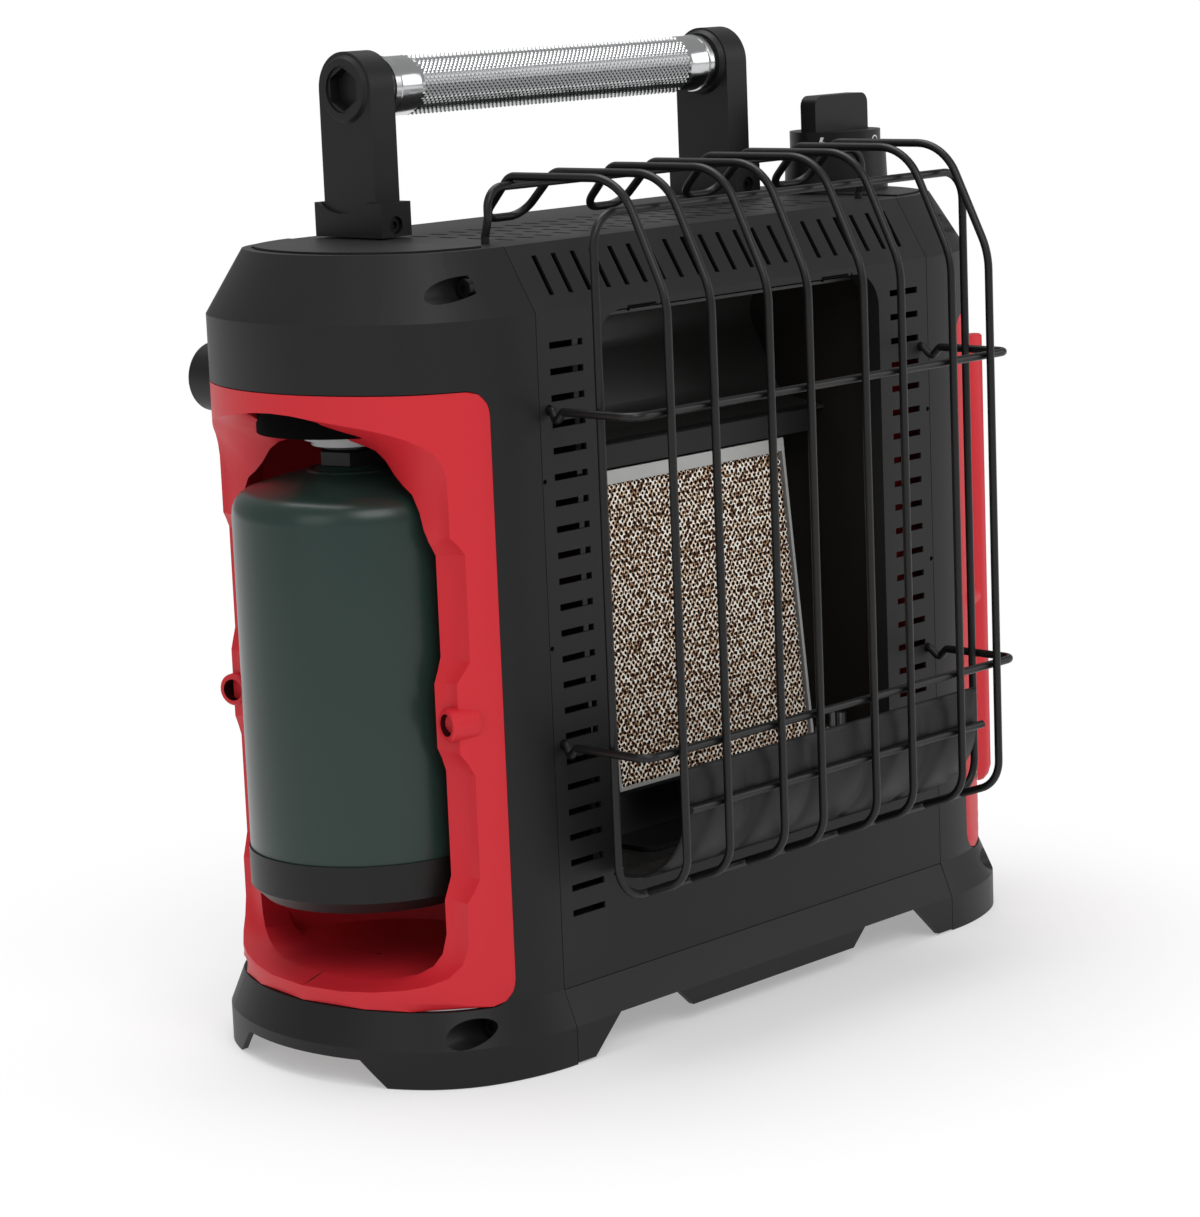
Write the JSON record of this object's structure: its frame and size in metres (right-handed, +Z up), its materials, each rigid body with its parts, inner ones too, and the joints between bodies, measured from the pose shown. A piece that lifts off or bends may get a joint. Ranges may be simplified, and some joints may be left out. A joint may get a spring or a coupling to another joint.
{
  "type": "portable propane heater",
  "caption": "Portable radiant propane heater with swing-out gas bottles in its end bays, a wire guard, a heat deflector, a push-and-turn knob and a carrying handle",
  "frame": {"origin": "on the ground under the middle of the bounding box, guard included", "axes": "X across the heater from bottle to bottle, -Y the front with the guard, +Z up"},
  "size_m": [0.3928, 0.2068, 0.3935],
  "materials": {
    "housing_black": "satin moulded",
    "panel_red": "satin moulded",
    "bottle_foot": "moulded",
    "valve_metal": "satin cast",
    "bottle_green": "semi-gloss paint",
    "guard_wire": "satin coated",
    "black_steel": "satin paint",
    "chrome": "polished and knurled",
    "plaque": "bare fired",
    "port_black": "moulded",
    "brass": "machined",
    "screw_black": "blackened",
    "plain_steel": "rolled"
  },
  "bodies": {
    "heater_body": {"base_plate": "plain_steel", "base_skirt_front": "black_steel", "base_skirt_rear": "black_steel", "bay_panel_left": "panel_red", "bay_panel_right": "panel_red", "bracket_screws": "screw_black", "burner_frame": "plain_steel", "burner_housing": "plain_steel", "ceramic_plaque": "plaque", "deflector": "black_steel", "end_housing_left": "housing_black", "end_housing_right": "housing_black", "fire_floor": "plain_steel", "front_panel": "black_steel", "gas_cross_pipe": "brass", "gas_feed_pipe": "brass", "gas_jet": "brass", "gas_valve": "brass", "grip_bar": "chrome", "grip_bolt_left": "screw_black", "grip_bolt_right": "screw_black", "guard_cross_lower": "guard_wire", "guard_cross_upper": "guard_wire", "guard_frame": "guard_wire", "guard_hairpin_1": "guard_wire", "guard_hairpin_2": "guard_wire", "guard_hairpin_3": "guard_wire", "guard_hairpin_4": "guard_wire", "guard_short_bar": "guard_wire", "guard_support": "guard_wire", "handle_arm_left": "housing_black", "handle_arm_right": "housing_black", "handle_bracket_left": "housing_black", "handle_bracket_right": "housing_black", "housing_screws_left": "screw_black", "housing_screws_right": "screw_black", "knob_pedestal": "housing_black", "pilot_burner": "plain_steel", "pilot_shield": "plain_steel", "rear_panel": "black_steel", "rear_port": "port_black", "regulator_bracket_left": "plain_steel", "regulator_bracket_right": "plain_steel", "side_frame_left": "plain_steel", "side_frame_right": "plain_steel", "top_panel": "black_steel", "upper_reflector": "plain_steel"},
    "regulator_left": {"regulator_left": "valve_metal", "regulator_pin_left": "plain_steel"},
    "regulator_right": {"regulator_right": "valve_metal", "regulator_pin_right": "plain_steel"},
    "bottle_left": {"bottle_left": "bottle_green", "bottle_foot_left": "bottle_foot", "bottle_valve_left": "valve_metal"},
    "bottle_right": {"bottle_right": "bottle_green", "bottle_foot_right": "bottle_foot", "bottle_valve_right": "valve_metal"},
    "knob_stem": {"knob_stem": "plain_steel"},
    "control_knob": {"control_knob": "housing_black"},
    "port_cap": {"port_cap": "port_black"}
  },
  "joints": [
    {"name": "regulator_left_swing", "type": "hinge", "parent": "heater_body", "child": "regulator_left", "pos_m": [-0.1478, 0.02223, 0.275], "axis": [0, 1, 0], "range_deg": [0, 20]},
    {"name": "bottle_left_release", "type": "slide", "parent": "regulator_left", "child": "bottle_left", "axis": [0, 0, -1], "range_m": [0, 0.009]},
    {"name": "regulator_right_swing", "type": "hinge", "parent": "heater_body", "child": "regulator_right", "pos_m": [0.1478, 0.02223, 0.275], "axis": [0, -1, 0], "range_deg": [0, 20]},
    {"name": "bottle_right_release", "type": "slide", "parent": "regulator_right", "child": "bottle_right", "axis": [0, 0, -1], "range_m": [0, 0.009]},
    {"name": "knob_push", "type": "slide", "parent": "heater_body", "child": "knob_stem", "axis": [0, 0, -1], "range_m": [0, 0.004], "stiffness_N_per_m": 400, "springref_m": -0.003},
    {"name": "knob_turn", "type": "hinge", "parent": "knob_stem", "child": "control_knob", "pos_m": [0.1478, 0.01922, 0.34], "axis": [0, 0, 1], "range_deg": [0, 150]},
    {"name": "port_cap_pull", "type": "slide", "parent": "heater_body", "child": "port_cap", "axis": [0, 1, 0], "range_m": [0, 0.016]}
  ]
}
